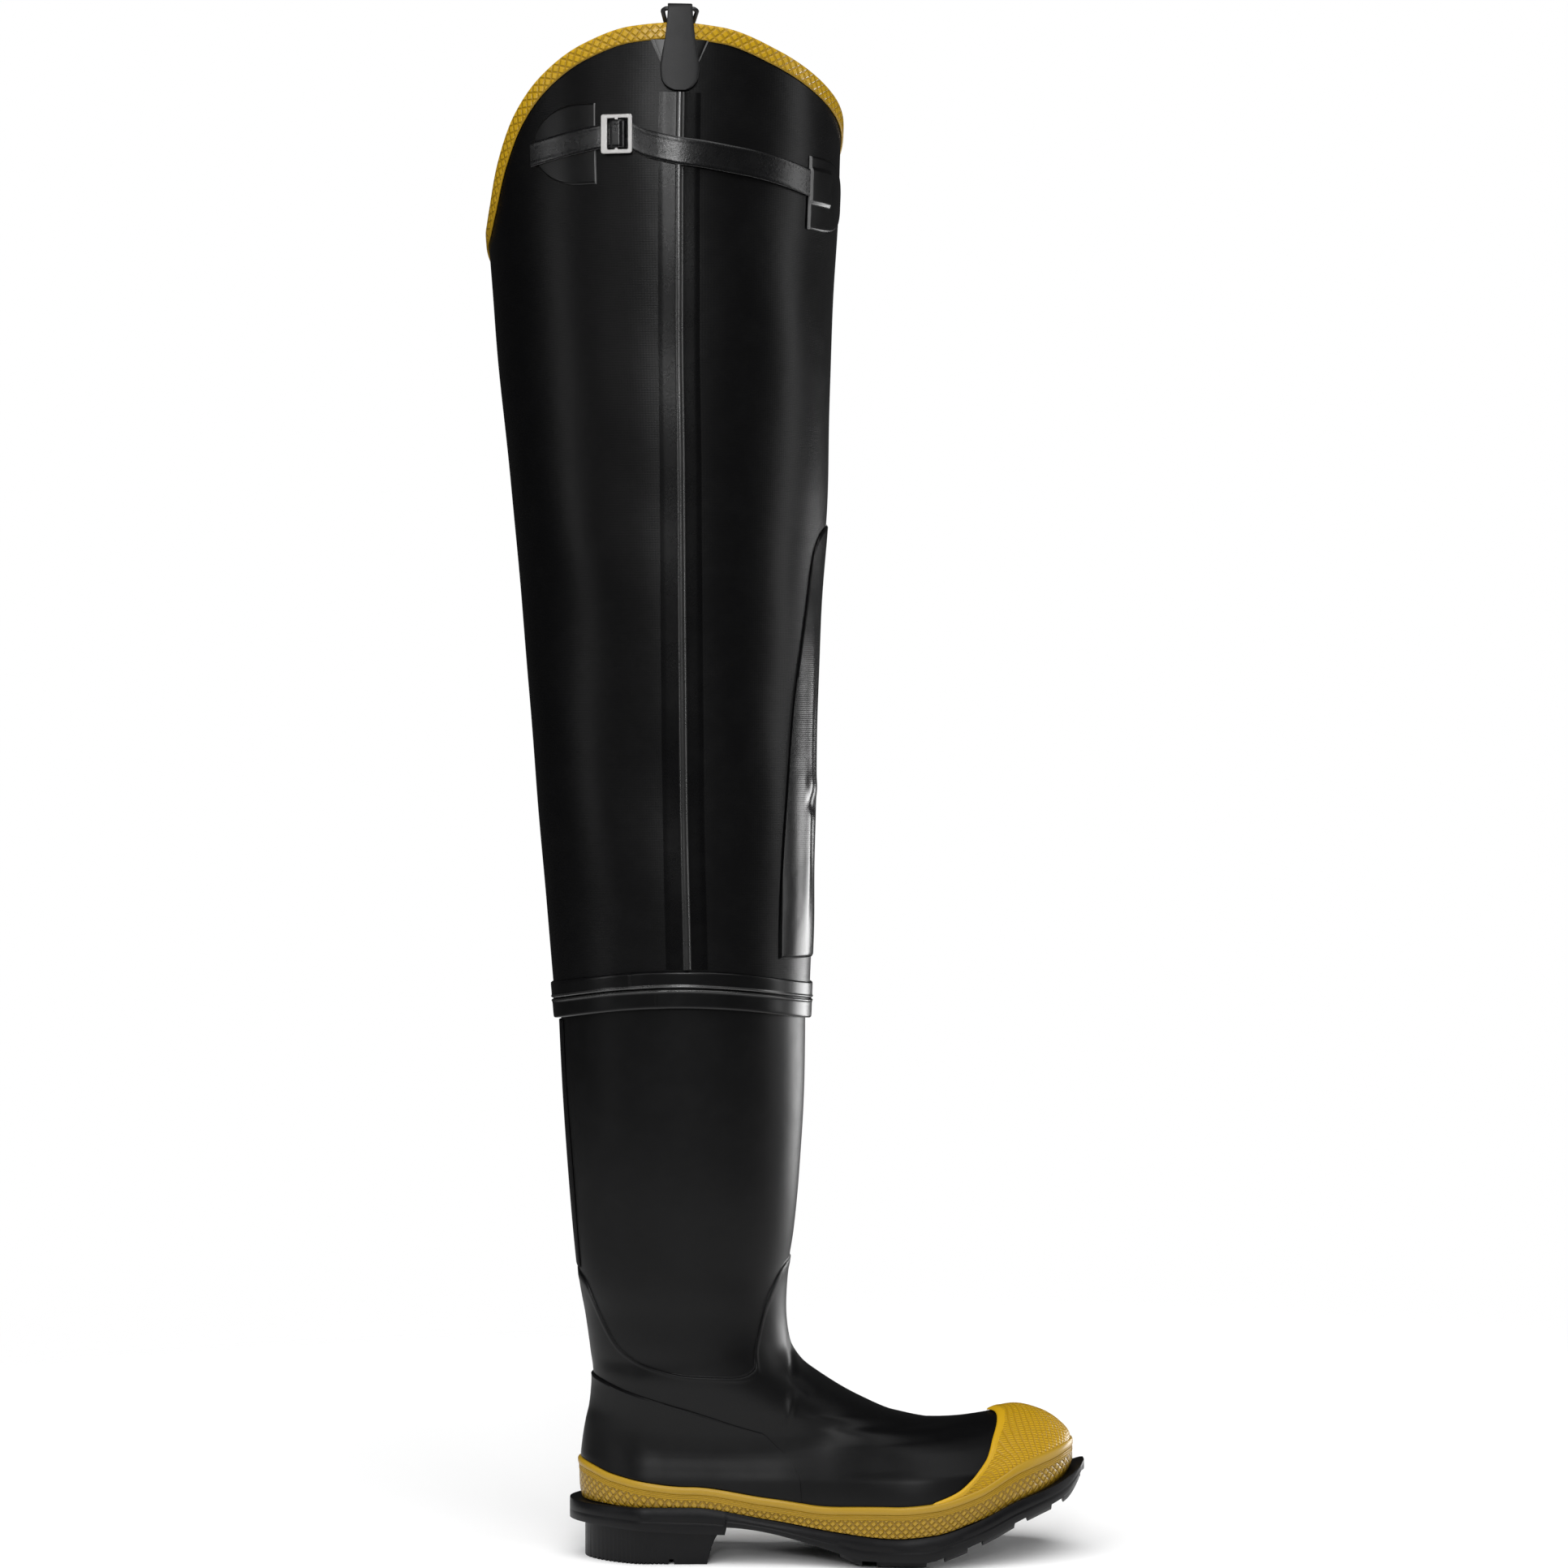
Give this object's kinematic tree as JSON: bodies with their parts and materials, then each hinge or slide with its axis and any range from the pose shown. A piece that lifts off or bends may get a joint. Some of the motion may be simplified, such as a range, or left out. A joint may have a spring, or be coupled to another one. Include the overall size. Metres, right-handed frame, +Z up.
{
  "type": "hip wader",
  "caption": "Tall rubber hip boot for a right foot: thigh shaft with slanted bound collar, side belt strap with ring, buckled thigh strap, toe cap and lugged sole.",
  "frame": {"origin": "on the floor under the middle of the heel", "axes": "+Z up along the leg, +X towards the toe, -Y the outer side of the right leg"},
  "size_m": [0.3678, 0.1791, 0.937],
  "materials": {
    "shaft_rubber": "satin",
    "boot_rubber": "gloss",
    "sole_rubber": "matte",
    "yellow_rubber": "satin",
    "insole_cloth": "matte",
    "bright_steel": "polished",
    "dark_steel": "satin"
  },
  "bodies": {
    "boot": {"outsole": "sole_rubber", "insole": "insole_cloth", "upper": "boot_rubber", "foxing_band": "yellow_rubber", "toe_cap": "yellow_rubber", "heel_counter": "boot_rubber", "back_stay": "boot_rubber", "thigh_shaft": "shaft_rubber", "collar_binding": "yellow_rubber", "knee_band_lower": "boot_rubber", "knee_band_upper": "boot_rubber", "knee_patch": "shaft_rubber", "side_seam_tape": "shaft_rubber", "strap_anchor_rear": "boot_rubber", "strap_anchor_front": "boot_rubber", "thigh_strap_rear": "boot_rubber", "thigh_strap_front": "boot_rubber", "strap_buckle": "bright_steel", "belt_gusset": "boot_rubber", "belt_strap": "shaft_rubber"},
    "ring": {"belt_ring": "dark_steel"}
  },
  "joints": [
    {"name": "ring_swing", "type": "hinge", "parent": "boot", "child": "ring", "pos_m": [0.0213, -0.0876, 0.9339], "axis": [0.9957, 0.0925, 0], "range_deg": [0, 290]}
  ]
}
